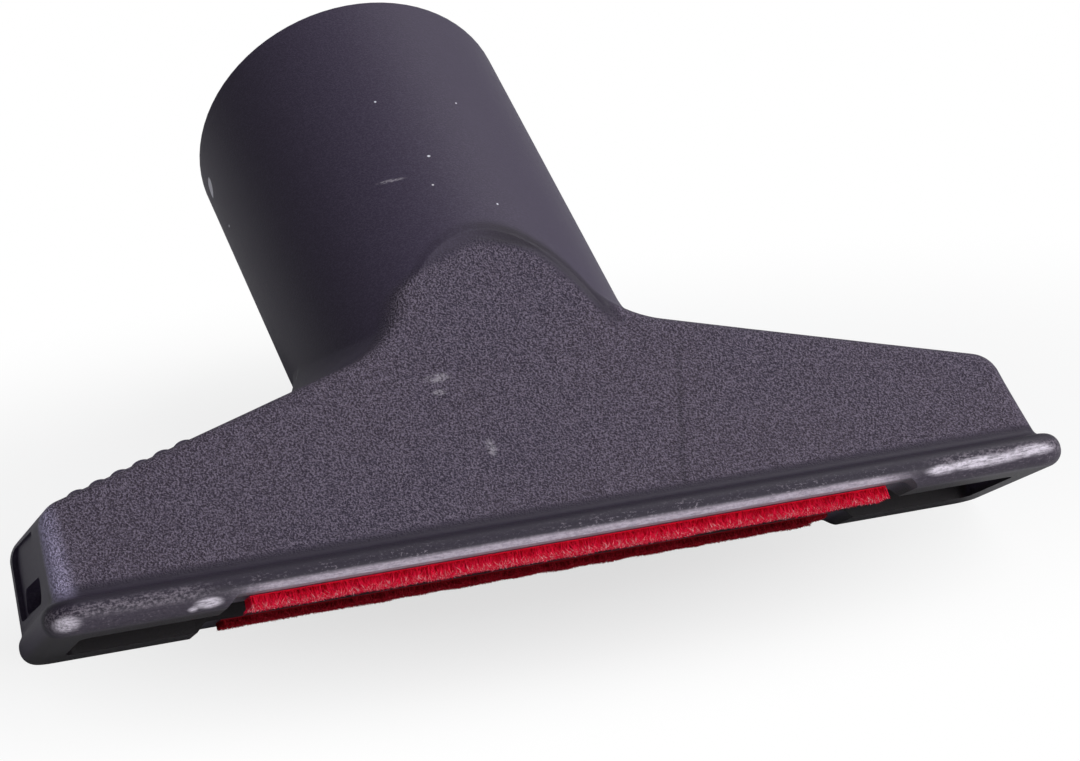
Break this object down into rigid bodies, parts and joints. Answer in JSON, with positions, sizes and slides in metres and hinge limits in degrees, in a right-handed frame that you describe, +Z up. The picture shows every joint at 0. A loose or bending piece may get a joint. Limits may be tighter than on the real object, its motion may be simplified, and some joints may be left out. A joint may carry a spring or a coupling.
{
  "type": "vacuum upholstery nozzle",
  "caption": "Flat fan-shaped suction nozzle with a long narrow mouth, rounded rim, leaning round socket tube and velour lint strips under the lips.",
  "frame": {"origin": "centre of the bounding box at floor level, with the nozzle lying on its rear rim edge and on the heel of the tube", "axes": "+X along the mouth, +Y from the mouth towards the open end of the socket tube, +Z up"},
  "size_m": [0.1194, 0.0956, 0.0508],
  "materials": {
    "moulded_plastic": "dark purple-grey plastic with a moulded grain",
    "red_velour": "short red velour pile, worn pale along the outer edge"
  },
  "bodies": {
    "root": {"nozzle_body": "moulded_plastic", "front_lint_strip": "red_velour", "rear_lint_strip": "red_velour"}
  },
  "joints": []
}
